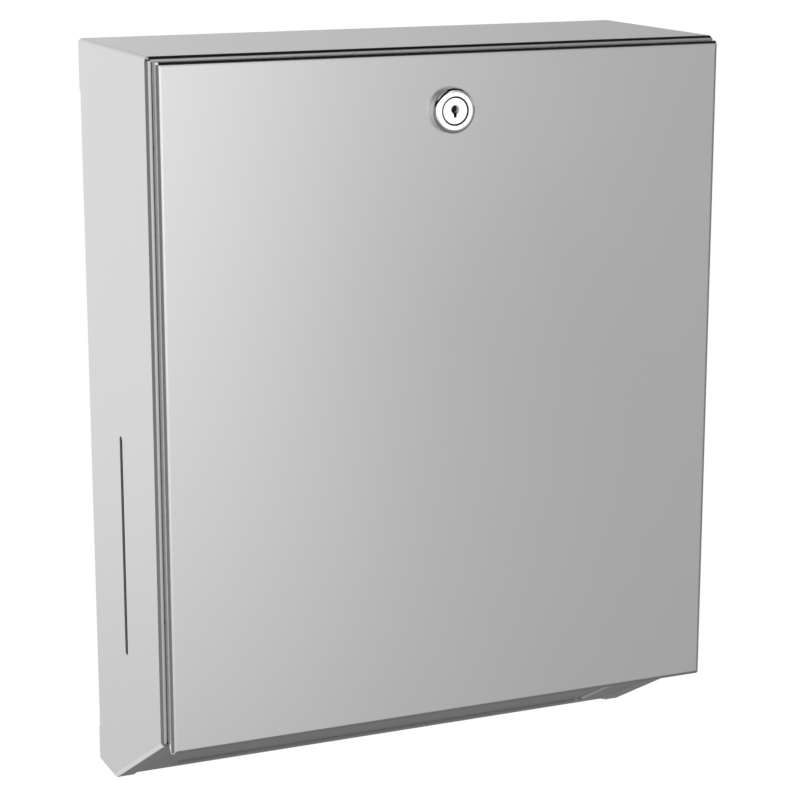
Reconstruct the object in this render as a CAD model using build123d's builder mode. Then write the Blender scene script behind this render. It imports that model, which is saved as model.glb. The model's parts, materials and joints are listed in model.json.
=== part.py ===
from build123d import *
from math import atan2, cos, radians, sin, tan
import os

# Wall-hung dispenser for folded paper towels, in satin stainless sheet.
# Millimetres: X to the viewer's right, Y into the wall, Z up.
# The origin is on the wall plane, in the middle of the four fixing holes.

# Case, folded from sheet
case_width = 300.0
case_height = 383.5
case_depth = 111.15  # wall to front flanges
case_slope_rise = 48.2  # lowest corner to lower front corner
case_floor_depth = 26.5  # wall to lowest corner
case_sheet = 1.0
case_bend = 2.4  # outside radius of the bends
case_flange = 10.0  # inward flanges at the front and underneath
case_top_flange = 14.0  # the lock cam goes behind this one
front_relief = 1.9  # notch radius where front and lower flanges meet
low_relief = 1.6  # notch radius at the lowest corner

# Relieved rear edges of the sides
wall_relief_depth = 1.5
wall_relief_top = 25.8
wall_relief_bottom = 19.5

# Level-view slots in the sides
level_slot_length = 114.4
level_slot_width = 4.5
level_slot_lift = 77.4  # bottom of the case to lower end of the slot
level_slot_depth = 55.0  # wall to middle of the slot

# Rear panel and its fixing holes
rear_sheet = 1.0
rear_bend = 2.0
rear_flange = 12.0
rear_flange_foot = 20.0  # flanges stop this far above the floor
bolt_spacing_x = 220.0
bolt_spacing_z = 260.0
bolt_hole_radius = 3.25

# Chute with the dispensing slot, which lies in a shallow pressed recess
chute_sheet = 1.0
chute_bend = 2.0
chute_clearance = 1.5  # to the inner face of each side
chute_setback = 7.15  # front of the case to the upturned lip
chute_rear_flange = 12.0
recess_margin = 29.0  # side of the case to the end of the recess
recess_length = 65.0  # measured up the slope
recess_distance = 8.5  # lowest corner to the rear edge of the recess
recess_corner = 4.0
recess_depth = 0.9
recess_draft = 45.0  # degrees, lean of the recess walls
slot_margin = 34.0  # side of the case to the end of the slot
slot_length = 20.0  # measured up the slope
slot_distance = 48.0  # lowest corner to the rear edge of the slot
slot_radius = 8.0
slot_roll = 0.6  # inside radius of the curled edge
slot_collar = 4.0  # how far the curled edge rises

# Door, a folded pan
door_margin = 2.6  # side of the case to side of the door
door_overhang = 2.4  # door reaches this far below the lower front corner
door_depth = 7.5
door_drop = 2.1  # top of the case to top of the door
door_gap = 0.5  # to the front of the case
door_sheet = 1.0
door_bend = 2.2
door_notch = 1.1  # open corner where two bends meet
door_lip = 8.0  # return lips at the sides and top
door_lip_bend = 1.2
door_foot = 5.0  # depth of the bottom flange
door_corner_depth = 5.5  # slanted cut at the lower rear corners
door_corner_height = 6.0
door_corner_width = 9.4

# Stiffeners in the door
stiffener_spacing = 150.0
stiffener_sheet = 0.8
stiffener_bend = 1.6
stiffener_crown = 22.0
stiffener_brim = 11.0
stiffener_rise = 5.0
stiffener_top_gap = 14.0  # to the top of the door
stiffener_foot_gap = 24.0  # to the bottom of the door

# Continuous hinge
leaf_sheet = 0.8
leaf_bend = 1.6
leaf_height = 14.0
hinge_margin = 20.0  # side of the case to the end of the hinge
hinge_setback = 1.15  # front of the case to the hinge axis
knuckle_radius = 2.3
knuckle_count = 13
knuckle_gap = 0.4
pin_radius = 1.2
pin_head_radius = 1.9
pin_head = 0.8
hinge_play = 0.05
fixing_count = 7
fixing_margin = 22.0  # end of a leaf to its first fixing
fixing_drop = 5.0  # top of a leaf to its fixings

# Rivets, studs and nuts
rivet_radius = 1.6
rivet_head_radius = 3.0
rivet_head = 1.1
hole_play = 0.1
thread_play = 0.03
hinge_stud_radius = 1.5
hinge_stud_length = 5.0
hinge_nut_size = 5.5
hinge_nut_height = 2.4
guide_stud_radius = 2.0
guide_stud_length = 7.0
guide_nut_size = 7.0
guide_nut_height = 3.2
nut_chamfer = 0.3

# Towel guides
guide_margin = 6.5  # side of the case to the foot of a guide
guide_sheet = 1.0
guide_bend = 2.0
guide_base = 16.0
guide_fin = 30.0
guide_height = 230.0
guide_lift = 15.0  # middle of the guides above the middle of the case
guide_corner = 8.0
guide_fixing_count = 3
guide_fixing_margin = 25.0  # end of a guide to its first fixing

# Rubber pads on the front flanges
buffer_radius = 3.5
buffer_play = 0.1  # to the back of the closed door
buffer_round = 0.2
buffer_inset = 3.4  # side of the door to the middle of a pad
buffer_drop = 42.0  # top of the case to the upper pads
buffer_lift = 63.3  # lower front corner to the lower pads

# Cam lock
lock_drop = 30.1  # top of the case to the lock axis
ring_radius = 11.0
ring_height = 5.0
ring_round = 2.0
ring_lip_round = 0.45
barrel_radius = 9.4
barrel_gap = 0.4  # end of the barrel to the cam
barrel_play = 0.1
plug_radius = 6.65
plug_play = 0.05
plug_sink = 0.3  # plug face below the top of the ring
plug_round = 0.45
keyhole_radius = 2.15
keyhole_lift = 0.7  # lock axis to the middle of the round part
keyhole_slot_width = 2.4  # at the round part
keyhole_foot_width = 1.2
keyhole_slot_length = 3.9  # middle of the round part to the foot
keyhole_depth = 4.5
lock_plate_width = 64.0
lock_plate_height = 42.0
lock_plate_sheet = 1.0
lock_plate_corner = 5.0
lock_washer_radius = 12.6
lock_washer_sheet = 0.8
lock_nut_size = 24.0
lock_nut_height = 4.0
lock_nut_chamfer = 0.6
cam_gap = 2.0  # to the top flange it goes behind
cam_sheet = 2.0
cam_width = 14.0
cam_hold = 7.9  # how far the cam goes behind the top flange
cam_corner = 4.0
cam_square = 7.0
cam_play = 0.1
tail_sink = 0.2  # square tail ends short of the cam's back
cam_washer_radius = 5.5
cam_washer_sheet = 0.8
cam_screw_radius = 1.6
cam_screw_head_radius = 3.6
cam_screw_head = 2.2
cam_screw_round = 0.8
cam_screw_length = 6.0
cam_screw_slot = 1.0
cam_screw_slot_depth = 1.1

# How far cuts run past a face
overrun = 3.0

# Places worked out from the sizes above
case_top = case_height / 2
case_bottom = -case_height / 2
case_front = -case_depth
case_corner = case_bottom + case_slope_rise
slope = atan2(case_corner - case_bottom, case_depth - case_floor_depth)
level_slot_z = case_bottom + level_slot_lift + level_slot_length / 2
chute_front = case_front + chute_setback
recess_width = case_width - 2 * recess_margin
slot_width = case_width - 2 * slot_margin
door_width = case_width - 2 * door_margin
door_back = case_front - door_gap
door_front = door_back - door_depth
door_inside = door_front + door_sheet
door_top = case_top - door_drop
door_bottom = case_corner - door_overhang
door_height = door_top - door_bottom
hinge_y = case_front + hinge_setback
hinge_z = door_bottom + door_sheet + knuckle_radius
hinge_length = case_width - 2 * hinge_margin
knuckle_pitch = hinge_length / knuckle_count
fixing_pitch = (hinge_length - 2 * fixing_margin) / (fixing_count - 1)
lock_z = case_top - lock_drop
lock_plane = Plane(origin=(0, door_front, lock_z), x_dir=(1, 0, 0), z_dir=(0, -1, 0))
nut_seat = door_sheet + lock_plate_sheet + lock_washer_sheet  # behind the door face
cam_seat = case_front + case_sheet + cam_gap - door_front  # behind the door face
screw_seat = cam_seat + cam_sheet + cam_washer_sheet  # behind the door face
barrel_length = cam_seat - barrel_gap  # behind the door face
cam_reach = lock_drop - case_top_flange + cam_hold
plug_face = ring_height - plug_sink  # in front of the door face
fixing_places = [(index - (fixing_count - 1) / 2) * fixing_pitch for index in range(fixing_count)]
guide_spacing = case_width - 2 * (guide_margin + guide_base) - guide_sheet  # between the fins
guide_fixing_x = (guide_spacing + guide_base) / 2 + guide_sheet
guide_fixing_pitch = (guide_height - 2 * guide_fixing_margin) / (guide_fixing_count - 1)
guide_first = guide_lift - guide_fixing_pitch * (guide_fixing_count - 1) / 2
guide_fixing_places = [guide_first + guide_fixing_pitch * index for index in range(guide_fixing_count)]
guide_fixings = [(side * guide_fixing_x, place) for side in (-1, 1) for place in guide_fixing_places]
buffer_height = door_gap - buffer_play
buffer_spacing = case_top - buffer_drop - case_corner - buffer_lift


def slope_height(y, inset):
    """Height of the sloped underside at y, moved inward by inset."""
    return case_corner - (y - case_front) * tan(slope) + inset / cos(slope)


def slope_plane(distance):
    """Plane on the underside of the chute, this far up the slope, facing into the case."""
    y = -case_floor_depth - distance * cos(slope)
    return Plane(
        origin=(0, y, slope_height(y, case_sheet)),
        x_dir=(1, 0, 0),
        z_dir=(0, sin(slope), cos(slope)),
    )


def low_corner(inset):
    """Place along Y of the lowest corner when the outline is moved inward by inset."""
    return -case_floor_depth + inset * (1 / cos(slope) - 1) / tan(slope)


def case_block(inset, bend):
    """Outside form of the case moved inward by inset, running past the wall by as much."""
    back = inset
    front = case_front + inset
    top = case_top - inset
    floor = case_bottom + inset
    with BuildPart() as block:
        with BuildSketch(Plane.YZ):
            with BuildLine():
                Polyline(
                    (back, top),
                    (front, top),
                    (front, slope_height(front, inset)),
                    (low_corner(inset), floor),
                    (back, floor),
                    close=True,
                )
            make_face()
        extrude(amount=case_width / 2 - inset, both=True)
        fillet(block.edges().filter_by(lambda edge: edge.center().Y < back - bend), bend)
    return block.part


def rounded_box(width, height, depth, radius):
    """Box with every edge rounded, depth along Y."""
    with BuildPart() as block:
        Box(width, depth, height)
        fillet(block.edges(), radius)
    return block.part


def bent_block(axis, width, height, depth, front_bend, back_bend):
    """Box with rounded edges along one axis, depth along Y."""
    with BuildPart() as block:
        Box(width, depth, height)
        front, back = block.edges().filter_by(axis).group_by(Axis.Y)
        fillet(front, front_bend)
        fillet(back, back_bend)
    return block.part


def mitred_box(width, height, depth, front_bend, back_bend):
    """Box with bends along its long edges that meet in mitres, depth along Y."""
    with BuildPart() as block:
        add(bent_block(Axis.X, width, height, depth, front_bend, back_bend))
        add(bent_block(Axis.Z, width, height, depth, front_bend, back_bend), mode=Mode.INTERSECT)
    return block.part


def hollow_box(form, width, height, depth, sheet, *bends):
    """Closed box of bent sheet, depth along Y, with the corners that form gives it."""
    with BuildPart() as hollow:
        add(form(width, height, depth, *bends))
        inner_bends = [bend - sheet for bend in bends]
        inner = form(width - 2 * sheet, height - 2 * sheet, depth - 2 * sheet, *inner_bends)
        add(inner, mode=Mode.SUBTRACT)
    return hollow.part


def bent_strip(plane, points, sheet, bend, length):
    """Strip of sheet whose middle surface follows points on plane, as long either way."""
    with BuildPart() as strip:
        with BuildSketch(plane):
            with BuildLine():
                FilletPolyline(*points, radius=bend - sheet / 2)
            trace(line_width=sheet)
        extrude(amount=length / 2, both=True)
    return strip.part


def hex_nut(size, height, bore, chamfer_size):
    """Hexagon nut standing on its seat."""
    with BuildPart() as nut:
        with BuildSketch():
            RegularPolygon(radius=size / 2, side_count=6, major_radius=False)
            Circle(bore, mode=Mode.SUBTRACT)
        extrude(amount=height)
        chamfer(nut.faces().sort_by(Axis.Z)[-1].outer_wire().edges(), chamfer_size)
    return nut.part


def headed_rivet(grip):
    """Rivet through grip of sheet, with a round head each end, its lower head under the seat."""
    with BuildPart() as rivet:
        with BuildSketch():
            Circle(rivet_radius)
        extrude(amount=grip)
        with BuildSketch(Plane.XY.offset(grip)):
            Circle(rivet_head_radius)
        extrude(amount=rivet_head)
        with BuildSketch(Plane.XY):
            Circle(rivet_head_radius)
        extrude(amount=-rivet_head)
        ends = rivet.edges().filter_by(GeomType.CIRCLE).group_by(Axis.Z)
        fillet(ends[0] + ends[-1], rivet_head / 2)
    return rivet.part


def knuckle_places(own):
    """Places along X of the knuckles of one leaf: own is 0 for the fixed leaf, 1 for the moving one."""
    first = -(knuckle_count - 1) / 2
    return [(first + index) * knuckle_pitch for index in range(own, knuckle_count, 2)]


def hinge_leaf(points, own):
    """Bent leaf with its knuckles, cut away where the other leaf's are."""
    other = 1 - own
    side = 1 - 2 * own
    middle = hinge_y + side * (knuckle_gap - overrun) / 2
    with BuildPart() as leaf:
        add(bent_strip(Plane.YZ, points, leaf_sheet, leaf_bend, hinge_length))
        with BuildSketch(Plane.YZ):
            with Locations((hinge_y, hinge_z)):
                Circle(knuckle_radius)
        extrude(amount=hinge_length / 2, both=True)
        with Locations(*[(place, middle, hinge_z) for place in knuckle_places(other)]):
            Box(
                knuckle_pitch + knuckle_gap,
                2 * knuckle_radius + knuckle_gap + overrun,
                2 * (knuckle_radius + overrun),
                mode=Mode.SUBTRACT,
            )
        with BuildSketch(Plane.YZ):
            with Locations((hinge_y, hinge_z)):
                Circle(pin_radius + hinge_play)
        extrude(amount=hinge_length / 2 + overrun, both=True, mode=Mode.SUBTRACT)
    return leaf.part


def slot_outline(margin):
    """Outline of the dispensing slot, grown by margin."""
    return RectangleRounded(slot_width + 2 * margin, slot_length + 2 * margin, slot_radius + margin)


def slot_rim():
    """Curled edge of the dispensing slot, flat underneath at height zero."""
    with BuildPart() as rim:
        with BuildSketch():
            slot_outline(slot_curl)
        extrude(amount=chute_sheet)
        with BuildSketch():
            slot_outline(chute_sheet)
        extrude(amount=slot_collar)
        ledge = rim.faces().filter_by(Axis.Z).group_by(Axis.Z)[1][0]
        fillet(ledge.inner_wires()[0].edges(), slot_roll)
        with BuildSketch():
            slot_outline(0)
        extrude(amount=slot_collar, mode=Mode.SUBTRACT)
        mouth = rim.faces().sort_by(Axis.Z)[0].inner_wires()[0]
        fillet(mouth.edges(), slot_roll + chute_sheet)
    return rim.part


def recess_outline(margin):
    """Outline of the recess around the dispensing slot, grown by margin."""
    return RectangleRounded(recess_width + 2 * margin, recess_length + 2 * margin, recess_corner + margin)


def recess_tray():
    """Pressed recess, a shallow tray that is open underneath at height zero."""
    with BuildPart() as tray:
        with BuildSketch():
            recess_outline(chute_sheet)
        extrude(amount=chute_sheet)
        with BuildSketch(Plane.XY.offset(chute_sheet)):
            recess_outline(recess_land)
        extrude(amount=recess_depth, taper=recess_draft)
        with BuildSketch():
            recess_outline(0)
        extrude(amount=recess_depth, taper=recess_draft, mode=Mode.SUBTRACT)
    return tray.part


def forward_plane(x, y, z):
    """Plane at a point, facing the front."""
    return Plane(origin=(x, y, z), x_dir=(1, 0, 0), z_dir=(0, -1, 0))


def backward_plane(x, y, z):
    """Plane at a point, facing the wall."""
    return Plane(origin=(x, y, z), x_dir=(1, 0, 0), z_dir=(0, 1, 0))


# Outlines of the hinge leaves, along the middle of their sheet
fixed_y = chute_front - leaf_sheet / 2
fixed_z = hinge_z + knuckle_radius - leaf_sheet / 2
fixed_top = fixed_z + leaf_height
fixed_points = [(hinge_y, fixed_z), (fixed_y, fixed_z), (fixed_y, fixed_top)]
rivet_z = fixed_top - fixing_drop
moving_y = door_inside + leaf_sheet / 2
moving_z = hinge_z - knuckle_radius + leaf_sheet / 2
moving_top = moving_z + leaf_height
moving_points = [(hinge_y, moving_z), (moving_y, moving_z), (moving_y, moving_top)]
stud_z = moving_top - fixing_drop

# Outline of the chute, along the middle of its sheet
chute_width = case_width - 2 * (case_sheet + chute_clearance)
chute_inset = case_sheet + chute_sheet / 2
chute_floor = case_bottom + chute_inset
chute_back = -rear_sheet - chute_sheet / 2
lip_y = chute_front + chute_sheet / 2
chute_points = [
    (lip_y, fixed_top),
    (lip_y, slope_height(lip_y, chute_inset)),
    (low_corner(chute_inset), chute_floor),
    (chute_back, chute_floor),
    (chute_back, chute_floor + chute_rear_flange),
]

# Recess and dispensing slot, on the underside of the chute
slot_curl = chute_sheet + 2 * slot_roll  # width of the rim around the slot
recess_land = chute_sheet * tan(radians(90 - recess_draft) / 2)  # keeps the walls as thick as the sheet
recess_plane = slope_plane(recess_distance + recess_length / 2)
slot_plane = slope_plane(slot_distance + slot_length / 2).offset(recess_depth)

# Case: housing shell
with BuildPart() as housing_shell:
    add(case_block(0, case_bend))
    add(case_block(case_sheet, case_bend - case_sheet), mode=Mode.SUBTRACT)
    with BuildSketch(Plane.XZ.offset(case_depth + overrun)):
        with Locations((0, (case_bottom - overrun + case_top - case_top_flange) / 2)):
            Rectangle(case_width - 2 * case_flange, case_height + overrun - case_top_flange)
    extrude(amount=-(case_depth + 2 * overrun), mode=Mode.SUBTRACT)
    with BuildSketch(Plane.YZ):
        with Locations((case_front, case_corner)):
            Circle(front_relief)
        with Locations((-case_floor_depth, case_bottom)):
            Circle(low_relief)
    extrude(amount=case_width / 2 - case_bend, both=True, mode=Mode.SUBTRACT)
    with BuildSketch(Plane.XZ):
        with Locations((0, (wall_relief_bottom - wall_relief_top) / 2)):
            Rectangle(case_width + overrun, case_height - wall_relief_top - wall_relief_bottom)
    extrude(amount=wall_relief_depth, mode=Mode.SUBTRACT)
    with BuildSketch(Plane.YZ):
        with Locations((-level_slot_depth, level_slot_z)):
            SlotOverall(level_slot_length, level_slot_width, rotation=90)
    extrude(amount=case_width / 2 + overrun, both=True, mode=Mode.SUBTRACT)
housing_shell.part.label = "housing_shell"

# Case: rear panel with the fixing holes
with BuildPart() as rear_panel:
    rear_depth = rear_flange + rear_bend
    with Locations((0, -rear_depth / 2, 0)):
        add(
            hollow_box(
                rounded_box,
                case_width - 2 * case_sheet,
                case_height - 2 * case_sheet,
                rear_depth,
                rear_sheet,
                rear_bend,
            )
        )
    split(bisect_by=Plane.XZ.offset(rear_flange), keep=Keep.BOTTOM)
    with BuildSketch(Plane.XZ.offset(rear_sheet)):
        with Locations((0, case_bottom)):
            Rectangle(case_width, 2 * rear_flange_foot)
    extrude(amount=rear_flange + overrun, mode=Mode.SUBTRACT)
    with BuildSketch(Plane.XZ):
        with GridLocations(bolt_spacing_x, bolt_spacing_z, 2, 2):
            Circle(bolt_hole_radius)
    extrude(amount=rear_sheet, mode=Mode.SUBTRACT)
rear_panel.part.label = "rear_panel"

# Case: chute with the dispensing slot
with BuildPart() as chute_panel:
    add(bent_strip(Plane.YZ, chute_points, chute_sheet, chute_bend, chute_width))
    with BuildSketch(recess_plane):
        recess_outline(chute_sheet)
    extrude(amount=chute_sheet, both=True, mode=Mode.SUBTRACT)
    with Locations(recess_plane):
        add(recess_tray())
    with BuildSketch(slot_plane):
        slot_outline(slot_curl)
    extrude(amount=chute_sheet, both=True, mode=Mode.SUBTRACT)
    with Locations(slot_plane):
        add(slot_rim())
    with BuildSketch(Plane.XZ.offset(-chute_front)):
        with Locations(*[(place, rivet_z) for place in fixing_places]):
            Circle(rivet_radius + hole_play)
    extrude(amount=chute_sheet + overrun, both=True, mode=Mode.SUBTRACT)
chute_panel.part.label = "chute_panel"

# Hinge: fixed leaf, riveted to the lip of the chute
with BuildPart() as hinge_leaf_housing:
    add(hinge_leaf(fixed_points, 0))
    with BuildSketch(Plane.XZ.offset(-chute_front)):
        with Locations(*[(place, rivet_z) for place in fixing_places]):
            Circle(rivet_radius + hole_play)
    extrude(amount=leaf_sheet + hole_play, both=True, mode=Mode.SUBTRACT)
hinge_leaf_housing.part.label = "hinge_leaf_housing"

# Hinge: pin with a rounded head at each end
with BuildPart() as hinge_pin:
    with BuildSketch(Plane.YZ):
        with Locations((hinge_y, hinge_z)):
            Circle(pin_radius)
    extrude(amount=hinge_length / 2, both=True)
    for side in (-1, 1):
        with BuildSketch(Plane.YZ.offset(side * hinge_length / 2)):
            with Locations((hinge_y, hinge_z)):
                Circle(pin_head_radius)
        extrude(amount=side * pin_head)
    head_edges = hinge_pin.edges().filter_by(GeomType.CIRCLE).group_by(Axis.X)
    fillet(head_edges[0] + head_edges[-1], pin_head / 2)
hinge_pin.part.label = "hinge_pin"

# Hinge: rivets of the fixed leaf
with BuildPart() as hinge_rivets:
    rivet_seat = chute_front - leaf_sheet
    with Locations(*[backward_plane(place, rivet_seat, rivet_z) for place in fixing_places]):
        add(headed_rivet(leaf_sheet + chute_sheet))
hinge_rivets.part.label = "hinge_rivets"


def towel_guide(side):
    """Angle on the rear panel whose fin keeps the towels over the slot."""
    fin_x = side * (guide_spacing + guide_sheet) / 2
    base_y = -rear_sheet - guide_sheet / 2
    points = [
        (fin_x, -rear_sheet - guide_fin),
        (fin_x, base_y),
        (fin_x + side * guide_base, base_y),
    ]
    with BuildPart() as guide:
        add(bent_strip(Plane.XY.offset(guide_lift), points, guide_sheet, guide_bend, guide_height))
        fillet(guide.edges().filter_by(Axis.X).group_by(Axis.Y)[0], guide_corner)
        with BuildSketch(Plane.XZ.offset(rear_sheet)):
            with Locations(*[(side * guide_fixing_x, place) for place in guide_fixing_places]):
                Circle(guide_stud_radius + hole_play)
        extrude(amount=guide_sheet, mode=Mode.SUBTRACT)
    return guide.part


# Towel guides
with BuildPart() as towel_guide_left:
    add(towel_guide(-1))
towel_guide_left.part.label = "towel_guide_left"

with BuildPart() as towel_guide_right:
    add(towel_guide(1))
towel_guide_right.part.label = "towel_guide_right"

# Towel guides: weld studs on the rear panel
with BuildPart() as guide_studs:
    with BuildSketch(Plane.XZ.offset(rear_sheet)):
        with Locations(*guide_fixings):
            Circle(guide_stud_radius)
    extrude(amount=guide_stud_length)
guide_studs.part.label = "guide_studs"

# Towel guides: nuts
with BuildPart() as guide_nuts:
    with Locations(*[forward_plane(x, -rear_sheet - guide_sheet, z) for x, z in guide_fixings]):
        add(hex_nut(guide_nut_size, guide_nut_height, guide_stud_radius + thread_play, nut_chamfer))
guide_nuts.part.label = "guide_nuts"

# Rubber pads on the front flanges
with BuildPart() as door_buffers:
    with BuildSketch(Plane.XZ.offset(case_depth)):
        with Locations((0, case_top - buffer_drop - buffer_spacing / 2)):
            with GridLocations(door_width - 2 * buffer_inset, buffer_spacing, 2, 2):
                Circle(buffer_radius)
    extrude(amount=buffer_height)
    fillet(door_buffers.edges().group_by(Axis.Y)[0], buffer_round)
door_buffers.part.label = "door_buffers"

# Door: folded skin
with BuildPart() as door_skin:
    with Locations((0, (door_front + door_back) / 2, (door_top + door_bottom) / 2)):
        add(
            hollow_box(
                mitred_box,
                door_width,
                door_height,
                door_depth,
                door_sheet,
                door_bend,
                door_lip_bend,
            )
        )
    for side in (-1, 1):
        for height in (door_top - door_notch / 2, door_bottom + door_notch / 2):
            with Locations((side * (door_width - door_notch) / 2, door_front + door_bend / 2, height)):
                Box(door_notch, door_bend, door_notch, mode=Mode.SUBTRACT)
    with BuildSketch(Plane.XZ.offset(-door_back - overrun)):
        with Locations((0, (door_bottom - overrun + door_top - door_lip) / 2)):
            Rectangle(door_width - 2 * door_lip, door_height + overrun - door_lip)
    extrude(amount=overrun + door_depth - door_foot, mode=Mode.SUBTRACT)
    for side in (-1, 1):
        with BuildSketch(Plane.YZ.offset(side * door_width / 2)):
            with BuildLine():
                Polyline(
                    (door_back, door_bottom),
                    (door_back, door_bottom + door_corner_height),
                    (door_back - door_corner_depth, door_bottom),
                    close=True,
                )
            make_face()
        extrude(amount=-side * door_corner_width, mode=Mode.SUBTRACT)
    with BuildSketch(lock_plane):
        Circle(barrel_radius + barrel_play)
    extrude(amount=-door_sheet, mode=Mode.SUBTRACT)
door_skin.part.label = "door_skin"


def door_stiffener(side):
    """Upright hat section on the inside of the door."""
    middle = side * stiffener_spacing / 2
    web = stiffener_crown / 2
    brim_y = door_inside + stiffener_sheet / 2
    crown_y = door_inside + stiffener_rise - stiffener_sheet / 2
    points = [
        (middle - web - stiffener_brim, brim_y),
        (middle - web, brim_y),
        (middle - web, crown_y),
        (middle + web, crown_y),
        (middle + web, brim_y),
        (middle + web + stiffener_brim, brim_y),
    ]
    foot = door_bottom + stiffener_foot_gap
    head = door_top - stiffener_top_gap
    plane = Plane.XY.offset((foot + head) / 2)
    return bent_strip(plane, points, stiffener_sheet, stiffener_bend, head - foot)


# Door: stiffeners
with BuildPart() as door_stiffener_left:
    add(door_stiffener(-1))
door_stiffener_left.part.label = "door_stiffener_left"

with BuildPart() as door_stiffener_right:
    add(door_stiffener(1))
door_stiffener_right.part.label = "door_stiffener_right"

# Door: doubler behind the lock
with BuildPart() as lock_plate:
    with BuildSketch(lock_plane.offset(-door_sheet)):
        RectangleRounded(lock_plate_width, lock_plate_height, lock_plate_corner)
        Circle(barrel_radius + barrel_play, mode=Mode.SUBTRACT)
    extrude(amount=-lock_plate_sheet)
lock_plate.part.label = "lock_plate"

# Hinge: moving leaf, bolted to studs on the inside of the door
with BuildPart() as hinge_leaf_door:
    add(hinge_leaf(moving_points, 1))
    with BuildSketch(Plane.XZ.offset(-door_inside)):
        with Locations(*[(place, stud_z) for place in fixing_places]):
            Circle(hinge_stud_radius + hole_play)
    extrude(amount=-leaf_sheet, mode=Mode.SUBTRACT)
hinge_leaf_door.part.label = "hinge_leaf_door"

# Hinge: weld studs on the door
with BuildPart() as hinge_studs:
    with BuildSketch(Plane.XZ.offset(-door_inside)):
        with Locations(*[(place, stud_z) for place in fixing_places]):
            Circle(hinge_stud_radius)
    extrude(amount=-hinge_stud_length)
hinge_studs.part.label = "hinge_studs"

# Hinge: nuts on the studs
with BuildPart() as hinge_nuts:
    nut_y = door_inside + leaf_sheet
    with Locations(*[backward_plane(place, nut_y, stud_z) for place in fixing_places]):
        add(hex_nut(hinge_nut_size, hinge_nut_height, hinge_stud_radius + thread_play, nut_chamfer))
hinge_nuts.part.label = "hinge_nuts"

# Lock: barrel with its ring on the door face
with BuildPart() as lock_barrel:
    with BuildSketch(lock_plane):
        Circle(ring_radius)
    extrude(amount=ring_height)
    fillet(lock_barrel.edges().filter_by(GeomType.CIRCLE).sort_by(Axis.Y)[0], ring_round)
    with BuildSketch(lock_plane):
        Circle(barrel_radius)
    extrude(amount=-barrel_length)
    with BuildSketch(lock_plane.offset(ring_height)):
        Circle(plug_radius + plug_play)
    extrude(amount=-ring_height - barrel_length, mode=Mode.SUBTRACT)
    ring_circles = lock_barrel.edges().filter_by(GeomType.CIRCLE).group_by(Axis.Y)[0]
    fillet(ring_circles.sort_by(SortBy.RADIUS)[0], ring_lip_round)
lock_barrel.part.label = "lock_barrel"

# Lock: washer
with BuildPart() as lock_washer:
    with BuildSketch(lock_plane.offset(lock_washer_sheet - nut_seat)):
        Circle(lock_washer_radius)
        Circle(barrel_radius + barrel_play, mode=Mode.SUBTRACT)
    extrude(amount=-lock_washer_sheet)
lock_washer.part.label = "lock_washer"

# Lock: ring nut
with BuildPart() as lock_nut:
    with Locations(backward_plane(0, door_front + nut_seat, lock_z)):
        add(hex_nut(lock_nut_size, lock_nut_height, barrel_radius + thread_play, lock_nut_chamfer))
lock_nut.part.label = "lock_nut"

# Lock: turning plug with the keyhole, a square tail and a tapped hole
with BuildPart() as lock_plug:
    with BuildSketch(lock_plane.offset(plug_face)):
        Circle(plug_radius)
    extrude(amount=-plug_face - cam_seat)
    fillet(lock_plug.edges().filter_by(GeomType.CIRCLE).sort_by(Axis.Y)[0], plug_round)
    with BuildSketch(lock_plane.offset(-cam_seat)):
        Rectangle(cam_square, cam_square)
    extrude(amount=tail_sink - cam_sheet)
    with BuildSketch(lock_plane.offset(plug_face)):
        with Locations((0, keyhole_lift)):
            Circle(keyhole_radius)
        with BuildLine():
            Polyline(
                (-keyhole_slot_width / 2, keyhole_lift),
                (keyhole_slot_width / 2, keyhole_lift),
                (keyhole_foot_width / 2, keyhole_lift - keyhole_slot_length),
                (-keyhole_foot_width / 2, keyhole_lift - keyhole_slot_length),
                close=True,
            )
        make_face()
    extrude(amount=-keyhole_depth, mode=Mode.SUBTRACT)
    with BuildSketch(lock_plane.offset(-screw_seat)):
        Circle(cam_screw_radius + thread_play)
    extrude(amount=cam_screw_length + hole_play, mode=Mode.SUBTRACT)
lock_plug.part.label = "lock_plug"

# Lock: cam, level at rest and upright when locked
with BuildPart() as lock_cam:
    with BuildSketch(lock_plane.offset(-cam_seat)):
        with Locations((-cam_reach / 2, 0)):
            Rectangle(cam_reach, cam_width)
        Circle(cam_width / 2)
        Rectangle(cam_square + 2 * cam_play, cam_square + 2 * cam_play, mode=Mode.SUBTRACT)
    extrude(amount=-cam_sheet)
    fillet(lock_cam.edges().filter_by(Axis.Y).group_by(Axis.X)[0], cam_corner)
lock_cam.part.label = "lock_cam"

# Lock: washer under the cam screw
with BuildPart() as cam_washer:
    with BuildSketch(lock_plane.offset(-cam_seat - cam_sheet)):
        Circle(cam_washer_radius)
        Circle(cam_screw_radius + hole_play, mode=Mode.SUBTRACT)
    extrude(amount=-cam_washer_sheet)
cam_washer.part.label = "cam_washer"

# Lock: cam screw with a slotted round head
with BuildPart() as cam_screw:
    with BuildSketch(lock_plane.offset(-screw_seat)):
        Circle(cam_screw_head_radius)
    extrude(amount=-cam_screw_head)
    fillet(cam_screw.edges().filter_by(GeomType.CIRCLE).sort_by(Axis.Y)[-1], cam_screw_round)
    with BuildSketch(lock_plane.offset(-screw_seat)):
        Circle(cam_screw_radius)
    extrude(amount=cam_screw_length)
    with BuildSketch(lock_plane.offset(-screw_seat - cam_screw_head)):
        Rectangle(2 * cam_screw_head_radius, cam_screw_slot)
    extrude(amount=cam_screw_slot_depth, mode=Mode.SUBTRACT)
cam_screw.part.label = "cam_screw"

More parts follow.
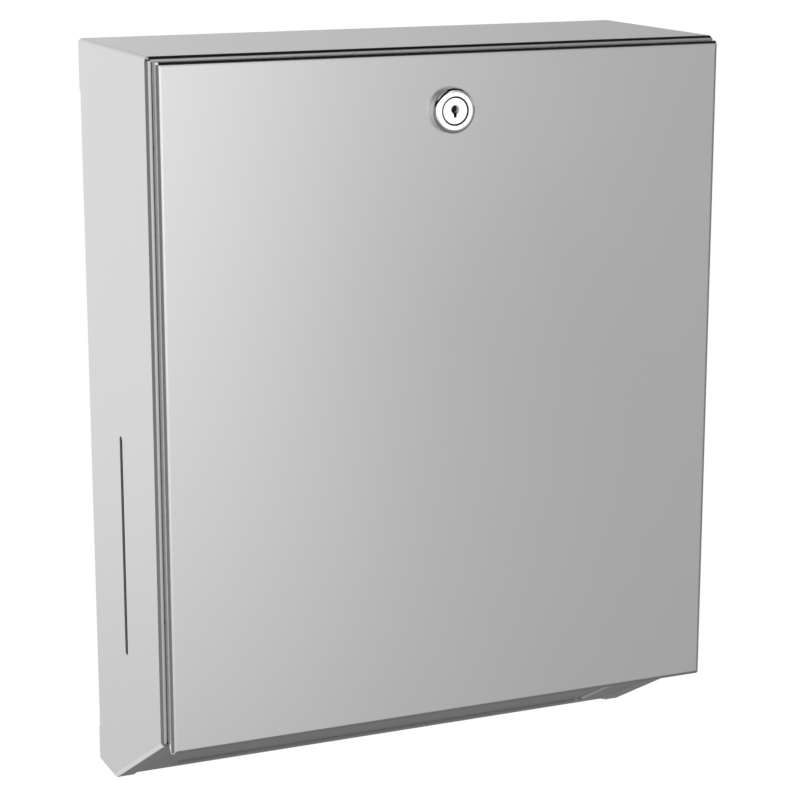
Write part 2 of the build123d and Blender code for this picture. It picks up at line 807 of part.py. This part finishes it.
os.makedirs("parts", exist_ok=True)
for piece in (
    housing_shell,
    rear_panel,
    chute_panel,
    hinge_leaf_housing,
    hinge_pin,
    hinge_rivets,
    towel_guide_left,
    towel_guide_right,
    guide_studs,
    guide_nuts,
    door_buffers,
    door_skin,
    door_stiffener_left,
    door_stiffener_right,
    lock_plate,
    hinge_leaf_door,
    hinge_studs,
    hinge_nuts,
    lock_barrel,
    lock_washer,
    lock_nut,
    lock_plug,
    lock_cam,
    cam_washer,
    cam_screw,
):
    export_step(piece.part, f"parts/{piece.part.label}.step")
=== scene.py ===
import json
import math

import bpy
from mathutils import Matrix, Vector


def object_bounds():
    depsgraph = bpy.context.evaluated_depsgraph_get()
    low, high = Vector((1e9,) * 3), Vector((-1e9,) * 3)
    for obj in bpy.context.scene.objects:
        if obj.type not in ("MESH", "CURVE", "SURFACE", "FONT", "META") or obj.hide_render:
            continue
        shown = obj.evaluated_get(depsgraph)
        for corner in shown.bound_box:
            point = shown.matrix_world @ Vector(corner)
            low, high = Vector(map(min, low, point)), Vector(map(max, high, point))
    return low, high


# Looks of the wall-hung paper towel dispenser, in metres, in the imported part's own frame.
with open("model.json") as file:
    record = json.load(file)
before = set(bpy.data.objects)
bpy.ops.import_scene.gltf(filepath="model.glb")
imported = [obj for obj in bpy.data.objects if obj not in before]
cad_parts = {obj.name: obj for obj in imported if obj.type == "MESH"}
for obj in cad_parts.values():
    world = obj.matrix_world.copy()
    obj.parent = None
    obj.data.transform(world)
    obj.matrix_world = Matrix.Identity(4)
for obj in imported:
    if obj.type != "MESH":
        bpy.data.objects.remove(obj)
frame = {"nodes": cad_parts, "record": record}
cad_low, cad_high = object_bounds()
nodes = frame["nodes"]

# Camera, fitted to the corners of the object in the photograph
CAMERA_PLACE = (-0.4787, -1.1624, 0.29175)
CAMERA_PITCH = math.radians(13.40)
CAMERA_YAW = math.radians(23.42)
CAMERA_LENS = 107.32
CAMERA_SENSOR = 36.0

# Stage: the part hangs at wall height over a round pale floor that curves up into a domed backdrop
FLOOR_DROP = 1.1
FLOOR_RADIUS = 7.0
COVE_RADIUS = 2.5
COVE_HEIGHT = 5.0
COVE_STEPS = 24
COVE_SEGMENTS = 96
DOME_STEPS = 32

# Studio light, as patches of the surroundings: strength, then left, right, lower and upper edge,
# each as its place and its softness in degrees. A negative strength is a darker spot in the others.
# Places across go to the right, from the front for the first list and from the back for the second.
STUDIO_BASE = 0.008
FRONT_PATCHES = [
    (0.17, (-182.0, 1.0), (182.0, 1.0), (-100.0, 1.0), (14.0, 5.0)),
    (0.05, (-182.0, 1.0), (182.0, 1.0), (-34.0, 8.0), (14.0, 5.0)),
    (0.52, (-43.0, 3.0), (21.0, 2.0), (-24.0, 15.0), (18.0, 6.0)),
    (0.26, (-43.0, 3.0), (19.6, 1.5), (-11.0, 9.0), (18.0, 6.0)),
    (0.26, (-43.0, 3.0), (50.0, 12.0), (-28.0, 16.0), (18.0, 6.0)),
    (0.55, (12.0, 6.0), (25.0, 5.0), (18.0, 6.0), (45.0, 3.0)),
    (0.5, (12.0, 6.0), (50.0, 12.0), (18.0, 6.0), (45.0, 3.0)),
    (-0.27, (22.5, 2.5), (28.5, 4.0), (-12.5, 2.5), (-8.0, 2.0)),
    (0.06, (18.0, 3.0), (28.0, 5.0), (-24.0, 3.0), (-16.5, 2.0)),
    (0.9, (23.6, 0.2), (26.0, 0.2), (-7.6, 0.2), (-5.4, 0.2)),
    (0.9, (80.0, 6.0), (142.0, 6.0), (1.0, 3.0), (25.0, 3.0)),
    (0.9, (84.0, 6.0), (126.0, 4.0), (25.0, 3.0), (40.0, 4.0)),
]
BACK_PATCHES = [
    (0.7, (-31.0, 3.0), (0.0, 20.0), (-26.0, 14.0), (19.0, 6.0)),
    (0.74, (0.0, 20.0), (30.0, 37.0), (-10.0, 10.0), (20.0, 6.0)),
    (0.7, (-31.0, 3.0), (4.0, 6.0), (19.0, 6.0), (32.0, 6.0)),
    (0.7, (-30.0, 4.0), (8.0, 6.0), (-54.0, 4.0), (-28.0, 8.0)),
    (0.12, (-30.0, 4.0), (8.0, 6.0), (-70.0, 4.0), (-54.0, 4.0)),
    (0.2, (36.0, 6.0), (60.0, 6.0), (-16.0, 8.0), (22.0, 8.0)),
    (0.6, (-120.0, 10.0), (-22.0, 10.0), (40.0, 8.0), (100.0, 1.0)),
]

# Inside of the satin sheets, left as rolled, and the middles of case and door that tell in from out
ROLLED_DARK = (0.6, 0.6, 0.61)
ROLLED_LIGHT = (0.72, 0.72, 0.72)
ROLLED_ROUGH_LOW = 0.5
ROLLED_ROUGH_HIGH = 0.62
CASE_CENTRE = (0.0, -0.056, 0.0)
DOOR_CENTRE = (0.0, -0.1105, 0.02)

# Front flanges of the case, behind the door, darkened with painted shade: the depths between which their
# colour turns darker
FLANGE_START = -0.1107
FLANGE_END = -0.1111
FLANGE_SHADE_TONE = (0.47, 0.47, 0.47)

# Side walls of the door, with painted light that makes them brighter than the rest: how far their faces turn
# to the side
WALL_START = 0.97
WALL_END = 0.99
WALL_LIGHT_TONE = (0.94, 0.94, 0.94)

# Walls of the recess underneath, darkened with painted shade: the way its rear wall faces, and how far a face
# turns that way or sideways
RECESS_REAR = (0.0, -0.9644, -0.2645)
RECESS_REAR_TURN = (0.975, 0.99)
RECESS_REAR_SHADE_TONE = (0.4, 0.4, 0.4)
RECESS_END_TURN = (0.3, 0.6)
RECESS_END_SHADE_TONE = (0.5, 0.5, 0.5)

# Lock: its axis and face, how far out the keyhole, the groove around the plug and the side of the ring
# lie, and the depths and heights between which painted shade turns the keyhole dark; the groove is darkened
# with painted shade too
LOCK_HEIGHT = 0.16165
LOCK_FACE = -0.12385
LOCK_FRONT = 0.0048
KEYHOLE_REACH = 0.0045
KEYHOLE_RIM = 0.0002
KEYHOLE_START = 0.002
KEYHOLE_END = 0.0044
KEYHOLE_FOOT_START = -0.0004
KEYHOLE_FOOT_END = -0.0013
GROOVE_INNER = 0.00628
GROOVE_OUTER = 0.00705
RING_SIDE = 0.01092
RING_SIDE_TONE = (0.93, 0.93, 0.93)
KEYHOLE_SHADE_TONE = (0.012, 0.012, 0.013)
SATIN_CHROME_ROUGH = 0.5


def new_material(name):
    """Material with an empty node tree, its output and its Principled shader."""
    material = bpy.data.materials.new(name)
    material.use_nodes = True
    tree = material.node_tree
    tree.nodes.clear()
    output = tree.nodes.new("ShaderNodeOutputMaterial")
    shader = tree.nodes.new("ShaderNodeBsdfPrincipled")
    tree.links.new(shader.outputs["BSDF"], output.inputs["Surface"])
    return material, tree, shader


def math_node(tree, operation, first, second=None):
    """Math node whose inputs are linked values or plain numbers."""
    node = tree.nodes.new("ShaderNodeMath")
    node.operation = operation
    for socket, value in zip(node.inputs, (first, second)):
        if isinstance(value, (int, float)):
            socket.default_value = value
        elif value is not None:
            tree.links.new(value, socket)
    return node.outputs["Value"]


def scaled_place(tree, scale):
    """Object coordinates stretched by scale along each axis."""
    coordinates = tree.nodes.new("ShaderNodeTexCoord")
    mapping = tree.nodes.new("ShaderNodeMapping")
    mapping.inputs["Scale"].default_value = scale
    tree.links.new(coordinates.outputs["Object"], mapping.inputs["Vector"])
    return mapping.outputs["Vector"]


def noise(tree, scale, detail, roughness=0.6):
    """Noise between 0 and 1 over the stretched object coordinates."""
    texture = tree.nodes.new("ShaderNodeTexNoise")
    texture.inputs["Scale"].default_value = 1.0
    texture.inputs["Detail"].default_value = detail
    texture.inputs["Roughness"].default_value = roughness
    tree.links.new(scaled_place(tree, scale), texture.inputs["Vector"])
    return texture.outputs["Fac"]


def blend(tree, factor, first, second):
    """Value that goes from first to second as factor goes from 0 to 1."""
    mix = tree.nodes.new("ShaderNodeMix")
    mix.data_type = "FLOAT"
    tree.links.new(factor, mix.inputs["Factor"])
    tree.links.new(first, mix.inputs[2])
    tree.links.new(second, mix.inputs[3])
    return mix.outputs[0]


def ranged(tree, value, low, high):
    """Value from 0 to 1 brought to the range from low to high."""
    mapped = tree.nodes.new("ShaderNodeMapRange")
    mapped.inputs["To Min"].default_value = low
    mapped.inputs["To Max"].default_value = high
    tree.links.new(value, mapped.inputs["Value"])
    return mapped.outputs["Result"]


def greys(tree, value, dark, light):
    """Colour between two linear colours."""
    ramp = tree.nodes.new("ShaderNodeValToRGB")
    ramp.color_ramp.elements[0].color = (*dark, 1.0)
    ramp.color_ramp.elements[1].color = (*light, 1.0)
    tree.links.new(value, ramp.inputs["Fac"])
    return ramp.outputs["Color"]


def bumped(tree, shader, height, strength, distance):
    """Small surface relief from a height."""
    bump = tree.nodes.new("ShaderNodeBump")
    bump.inputs["Strength"].default_value = strength
    bump.inputs["Distance"].default_value = distance
    tree.links.new(height, bump.inputs["Height"])
    tree.links.new(bump.outputs["Normal"], shader.inputs["Normal"])


def split_of(tree, kind):
    """X, Y and Z of a kind of coordinate: Object, Normal or, for the surroundings, Generated."""
    split = tree.nodes.new("ShaderNodeSeparateXYZ")
    tree.links.new(tree.nodes.new("ShaderNodeTexCoord").outputs[kind], split.inputs["Vector"])
    return split.outputs


def between(tree, value, start, end):
    """Factor that goes from 0 to 1 as a value goes from start to end."""
    mapped = tree.nodes.new("ShaderNodeMapRange")
    mapped.inputs["From Min"].default_value = start
    mapped.inputs["From Max"].default_value = end
    tree.links.new(value, mapped.inputs["Value"])
    return mapped.outputs["Result"]


def principled(material):
    """Principled shader of a finished material."""
    return next(node for node in material.node_tree.nodes if node.type == "BSDF_PRINCIPLED")


def tinted(tree, shader, factor, tone):
    """Turn the colour of a shader to another where factor is 1."""
    mix = tree.nodes.new("ShaderNodeMix")
    mix.data_type = "RGBA"
    tree.links.new(factor, mix.inputs["Factor"])
    tree.links.new(shader.inputs["Base Color"].links[0].from_socket, mix.inputs[6])
    mix.inputs[7].default_value = (*tone, 1.0)
    tree.links.new(mix.outputs[2], shader.inputs["Base Color"])


def lies_flat(tree):
    """Factor that is 1 on level faces and 0 on upright ones."""
    return math_node(tree, "ABSOLUTE", split_of(tree, "Normal")["Z"])


def faces_inward(tree, centre):
    """Factor that is 1 on faces turned towards the centre of a hollow piece and 0 on its outside."""
    coordinates = tree.nodes.new("ShaderNodeTexCoord")
    outward = tree.nodes.new("ShaderNodeVectorMath")
    outward.operation = "SUBTRACT"
    outward.inputs[1].default_value = centre
    tree.links.new(coordinates.outputs["Object"], outward.inputs[0])
    along = tree.nodes.new("ShaderNodeVectorMath")
    along.operation = "DOT_PRODUCT"
    tree.links.new(outward.outputs["Vector"], along.inputs[0])
    tree.links.new(coordinates.outputs["Normal"], along.inputs[1])
    return math_node(tree, "LESS_THAN", along.outputs["Value"], 0.0)


def satin_steel(name, dark, light, rough_low, rough_high, centre):
    """Satin stainless: fine grain, upright on the walls and along X on level faces, with faint clouds.

    The inside of the sheet is left as rolled, duller and a little darker.
    """
    material, tree, shader = new_material(name)
    shader.inputs["Metallic"].default_value = 1.0
    upright = noise(tree, (2600.0, 2600.0, 26.0), 3.0)
    level = noise(tree, (26.0, 2600.0, 2600.0), 3.0)
    grain = blend(tree, lies_flat(tree), upright, level)
    clouds = noise(tree, (9.0, 9.0, 6.0), 4.0)
    tone = blend(tree, clouds, grain, clouds)
    inward = faces_inward(tree, centre)
    mix = tree.nodes.new("ShaderNodeMix")
    mix.data_type = "RGBA"
    tree.links.new(inward, mix.inputs["Factor"])
    tree.links.new(greys(tree, tone, dark, light), mix.inputs[6])
    tree.links.new(greys(tree, tone, ROLLED_DARK, ROLLED_LIGHT), mix.inputs[7])
    tree.links.new(mix.outputs[2], shader.inputs["Base Color"])
    satin = ranged(tree, tone, rough_low, rough_high)
    rolled = ranged(tree, tone, ROLLED_ROUGH_LOW, ROLLED_ROUGH_HIGH)
    tree.links.new(blend(tree, inward, satin, rolled), shader.inputs["Roughness"])
    bumped(tree, shader, grain, 0.05, 0.00002)
    return material


def case_steel(name, dark, light, rough_low, rough_high, centre):
    """Satin stainless with painted shade on its front flanges, behind the door: their colour is darkened."""
    material = satin_steel(name, dark, light, rough_low, rough_high, centre)
    tree = material.node_tree
    front = between(tree, split_of(tree, "Object")["Y"], FLANGE_START, FLANGE_END)
    # Painted shade: the flanges in the door's shadow get a darker colour
    tinted(tree, principled(material), front, FLANGE_SHADE_TONE)
    return material


def door_steel(name, dark, light, rough_low, rough_high, centre):
    """Satin stainless with painted light on its upright side walls, which makes them brighter."""
    material = satin_steel(name, dark, light, rough_low, rough_high, centre)
    tree = material.node_tree
    sideways = math_node(tree, "ABSOLUTE", split_of(tree, "Normal")["X"])
    # Painted light: the side walls get a lighter colour
    tinted(tree, principled(material), between(tree, sideways, WALL_START, WALL_END), WALL_LIGHT_TONE)
    return material


def chute_steel(name, dark, light, rough_low, rough_high, centre):
    """Satin stainless with painted shade on the walls of its pressed recess, least at its ends."""
    material = satin_steel(name, dark, light, rough_low, rough_high, centre)
    tree = material.node_tree
    facing = tree.nodes.new("ShaderNodeVectorMath")
    facing.operation = "DOT_PRODUCT"
    facing.inputs[1].default_value = RECESS_REAR
    tree.links.new(tree.nodes.new("ShaderNodeTexCoord").outputs["Normal"], facing.inputs[0])
    sideways = math_node(tree, "ABSOLUTE", split_of(tree, "Normal")["X"])
    rear = between(tree, facing.outputs["Value"], *RECESS_REAR_TURN)
    # Painted shade: the rear and end walls of the recess get darker colours
    tinted(tree, principled(material), rear, RECESS_REAR_SHADE_TONE)
    tinted(tree, principled(material), between(tree, sideways, *RECESS_END_TURN), RECESS_END_SHADE_TONE)
    return material


def mill_steel(name, dark, light, rough_low, rough_high):
    """Plain rolled sheet with soft blotches and rolling lines."""
    material, tree, shader = new_material(name)
    shader.inputs["Metallic"].default_value = 1.0
    blotch = noise(tree, (60.0, 60.0, 30.0), 6.0)
    tree.links.new(greys(tree, blotch, dark, light), shader.inputs["Base Color"])
    tree.links.new(ranged(tree, blotch, rough_low, rough_high), shader.inputs["Roughness"])
    bumped(tree, shader, noise(tree, (900.0, 900.0, 90.0), 2.0), 0.08, 0.00003)
    return material


def polished(name, dark, light, rough_low, rough_high, scale):
    """Turned or plated bright metal with faint marks."""
    material, tree, shader = new_material(name)
    shader.inputs["Metallic"].default_value = 1.0
    marks = noise(tree, (scale, scale, scale), 5.0)
    tree.links.new(greys(tree, marks, dark, light), shader.inputs["Base Color"])
    tree.links.new(ranged(tree, marks, rough_low, rough_high), shader.inputs["Roughness"])
    return material


def black_rubber(name):
    """Matt black rubber with a fine moulded skin."""
    material, tree, shader = new_material(name)
    skin = noise(tree, (1500.0, 1500.0, 1500.0), 3.0)
    tree.links.new(greys(tree, skin, (0.012, 0.012, 0.012), (0.03, 0.03, 0.031)), shader.inputs["Base Color"])
    tree.links.new(ranged(tree, skin, 0.55, 0.8), shader.inputs["Roughness"])
    bumped(tree, shader, skin, 0.2, 0.00005)
    return material


def lock_chrome(name, dark, light, rough_low, rough_high, scale):
    """Bright chrome, satin on the side of the ring, dull in the keyhole, with painted shade that darkens the
    deep keyhole, its foot and the groove.
    """
    material = polished(name, dark, light, rough_low, rough_high, scale)
    tree = material.node_tree
    shader = principled(material)
    x, y, z = split_of(tree, "Object")
    height = math_node(tree, "SUBTRACT", z, LOCK_HEIGHT)
    across = math_node(tree, "MULTIPLY", x, x)
    square = math_node(tree, "ADD", across, math_node(tree, "MULTIPLY", height, height))
    near_face = math_node(tree, "LESS_THAN", y, LOCK_FACE + LOCK_FRONT)
    behind_rim = math_node(tree, "GREATER_THAN", y, LOCK_FACE + KEYHOLE_RIM)
    sunk = math_node(tree, "MULTIPLY", behind_rim, near_face)
    in_keyhole = math_node(tree, "MULTIPLY", math_node(tree, "LESS_THAN", square, KEYHOLE_REACH**2), sunk)
    past_inner = math_node(tree, "GREATER_THAN", square, GROOVE_INNER**2)
    within_outer = math_node(tree, "LESS_THAN", square, GROOVE_OUTER**2)
    groove = math_node(tree, "MULTIPLY", math_node(tree, "MULTIPLY", past_inner, near_face), within_outer)
    side = math_node(tree, "GREATER_THAN", square, RING_SIDE**2)
    deep = between(tree, y, LOCK_FACE + KEYHOLE_START, LOCK_FACE + KEYHOLE_END)
    foot = between(tree, height, KEYHOLE_FOOT_START, KEYHOLE_FOOT_END)
    keyhole = math_node(tree, "MULTIPLY", in_keyhole, math_node(tree, "MAXIMUM", deep, foot))
    tinted(tree, shader, side, RING_SIDE_TONE)
    # Painted shade: the deep keyhole, its foot and the groove around the plug get a near-black colour
    tinted(tree, shader, math_node(tree, "MAXIMUM", keyhole, groove), KEYHOLE_SHADE_TONE)
    dull = tree.nodes.new("ShaderNodeMix")
    dull.data_type = "FLOAT"
    tree.links.new(math_node(tree, "MAXIMUM", in_keyhole, side), dull.inputs["Factor"])
    tree.links.new(shader.inputs["Roughness"].links[0].from_socket, dull.inputs[2])
    dull.inputs[3].default_value = SATIN_CHROME_ROUGH
    tree.links.new(dull.outputs[0], shader.inputs["Roughness"])
    tree.links.new(math_node(tree, "SUBTRACT", 1.0, in_keyhole), shader.inputs["Metallic"])
    return material


finishes = {
    "case_steel": case_steel("case_steel", (0.74,) * 3, (0.8,) * 3, 0.22, 0.26, CASE_CENTRE),
    "door_steel": door_steel("door_steel", (0.74,) * 3, (0.8,) * 3, 0.22, 0.26, DOOR_CENTRE),
    # Painted shade: the chute panel, which forms the underside, gets a darker base colour than the case and
    # door of the same steel
    "chute_steel": chute_steel("chute_steel", (0.65,) * 3, (0.72,) * 3, 0.22, 0.26, DOOR_CENTRE),
    "mill_steel": mill_steel("mill_steel", (0.6, 0.6, 0.61), (0.72, 0.72, 0.72), 0.4, 0.56),
    "fastener_steel": polished("fastener_steel", (0.6, 0.6, 0.6), (0.76, 0.76, 0.75), 0.3, 0.46, 800.0),
    "chrome": lock_chrome("chrome", (0.88,) * 3, (0.94,) * 3, 0.04, 0.09, 500.0),
    "rubber": black_rubber("rubber"),
}
folded = {"housing_shell": "case_steel", "door_skin": "door_steel", "chute_panel": "chute_steel"}
for row in frame["record"]["subparts"]:
    finish = folded.get(row["node"], row["material_slot"])
    for material_slot in nodes[row["node"]].material_slots:
        material_slot.material = finishes[finish]


def stage_floor():
    """Round pale floor that curves up into a dome, seen by the camera and left out of the reflections."""
    level = cad_low[2] - FLOOR_DROP
    straight = FLOOR_RADIUS - COVE_RADIUS
    profile = [(straight * step / COVE_STEPS, level) for step in range(1, COVE_STEPS)]
    for step in range(COVE_STEPS + 1):
        turn = math.pi / 2 * step / COVE_STEPS
        profile.append((straight + COVE_RADIUS * math.sin(turn), level + COVE_RADIUS * (1 - math.cos(turn))))
    for step in range(DOME_STEPS + 1):
        turn = math.pi / 2 * step / DOME_STEPS
        profile.append((FLOOR_RADIUS * math.cos(turn), level + COVE_HEIGHT + FLOOR_RADIUS * math.sin(turn)))
    points = [(0.0, 0.0, level)]
    for radius, height in profile:
        for segment in range(COVE_SEGMENTS):
            turn = 2 * math.pi * segment / COVE_SEGMENTS
            points.append((radius * math.cos(turn), radius * math.sin(turn), height))
    faces = [(0, 1 + s, 1 + (s + 1) % COVE_SEGMENTS) for s in range(COVE_SEGMENTS)]
    for ring in range(len(profile) - 1):
        low = 1 + ring * COVE_SEGMENTS
        high = low + COVE_SEGMENTS
        for segment in range(COVE_SEGMENTS):
            after = (segment + 1) % COVE_SEGMENTS
            faces.append((low + segment, high + segment, high + after, low + after))
    mesh = bpy.data.meshes.new("floor")
    mesh.from_pydata(points, [], faces)
    mesh.polygons.foreach_set("use_smooth", [True] * len(mesh.polygons))
    floor = bpy.data.objects.new("floor", mesh)
    bpy.context.scene.collection.objects.link(floor)
    floor.visible_glossy = False
    floor.visible_shadow = False
    material, tree, shader = new_material("pale_floor")
    shader.inputs["Base Color"].default_value = (0.0, 0.0, 0.0, 1.0)
    shader.inputs["Specular IOR Level"].default_value = 0.0
    shader.inputs["Roughness"].default_value = 1.0
    shader.inputs["Emission Color"].default_value = (1.0, 1.0, 1.0, 1.0)
    shader.inputs["Emission Strength"].default_value = 1.0
    mesh.materials.append(material)


def soft_step(tree, value, low, high):
    """0 below low and 1 above high, or the reverse where low is above high, in degrees."""
    mapped = tree.nodes.new("ShaderNodeMapRange")
    mapped.interpolation_type = "SMOOTHSTEP"
    mapped.inputs["From Min"].default_value = math.radians(min(low, high))
    mapped.inputs["From Max"].default_value = math.radians(max(low, high))
    mapped.inputs["To Min"].default_value = 0.0 if low < high else 1.0
    mapped.inputs["To Max"].default_value = 1.0 if low < high else 0.0
    tree.links.new(value, mapped.inputs["Value"])
    return mapped.outputs["Result"]


def light_patch(tree, turn, rise, patch):
    """Patch of light between two turns and two rises, with soft edges."""
    strength, left, right, lower, upper = patch
    total = strength
    for angle, (place, soft) in ((turn, left), (rise, lower)):
        total = math_node(tree, "MULTIPLY", soft_step(tree, angle, place - soft, place + soft), total)
    for angle, (place, soft) in ((turn, right), (rise, upper)):
        total = math_node(tree, "MULTIPLY", soft_step(tree, angle, place + soft, place - soft), total)
    return total


def studio_world():
    """Soft studio surroundings: light from the front and from the back left, dark above and below."""
    world = bpy.data.worlds.new("studio")
    bpy.context.scene.world = world
    world.use_nodes = True
    tree = world.node_tree
    tree.nodes.clear()
    output = tree.nodes.new("ShaderNodeOutputWorld")
    background = tree.nodes.new("ShaderNodeBackground")
    tree.links.new(background.outputs["Background"], output.inputs["Surface"])
    x, y, z = split_of(tree, "Generated")
    rise = math_node(tree, "ARCSINE", z)
    from_front = math_node(tree, "ARCTAN2", x, math_node(tree, "MULTIPLY", y, -1.0))
    from_back = math_node(tree, "ARCTAN2", x, y)
    total = STUDIO_BASE
    for turn, patches in ((from_front, FRONT_PATCHES), (from_back, BACK_PATCHES)):
        for patch in patches:
            total = math_node(tree, "ADD", light_patch(tree, turn, rise, patch), total)
    tree.links.new(total, background.inputs["Strength"])
    background.inputs["Color"].default_value = (1.0, 1.0, 1.0, 1.0)


def studio_camera():
    """Camera where the photograph was taken from."""
    data = bpy.data.cameras.new("camera")
    data.lens = CAMERA_LENS
    data.sensor_width = CAMERA_SENSOR
    data.clip_end = 50.0
    camera = bpy.data.objects.new("camera", data)
    camera.location = CAMERA_PLACE
    camera.rotation_euler = (math.pi / 2 - CAMERA_PITCH, 0.0, -CAMERA_YAW)
    bpy.context.scene.collection.objects.link(camera)
    bpy.context.scene.camera = camera


stage_floor()
studio_world()
studio_camera()
bpy.context.scene.view_settings.view_transform = "Standard"
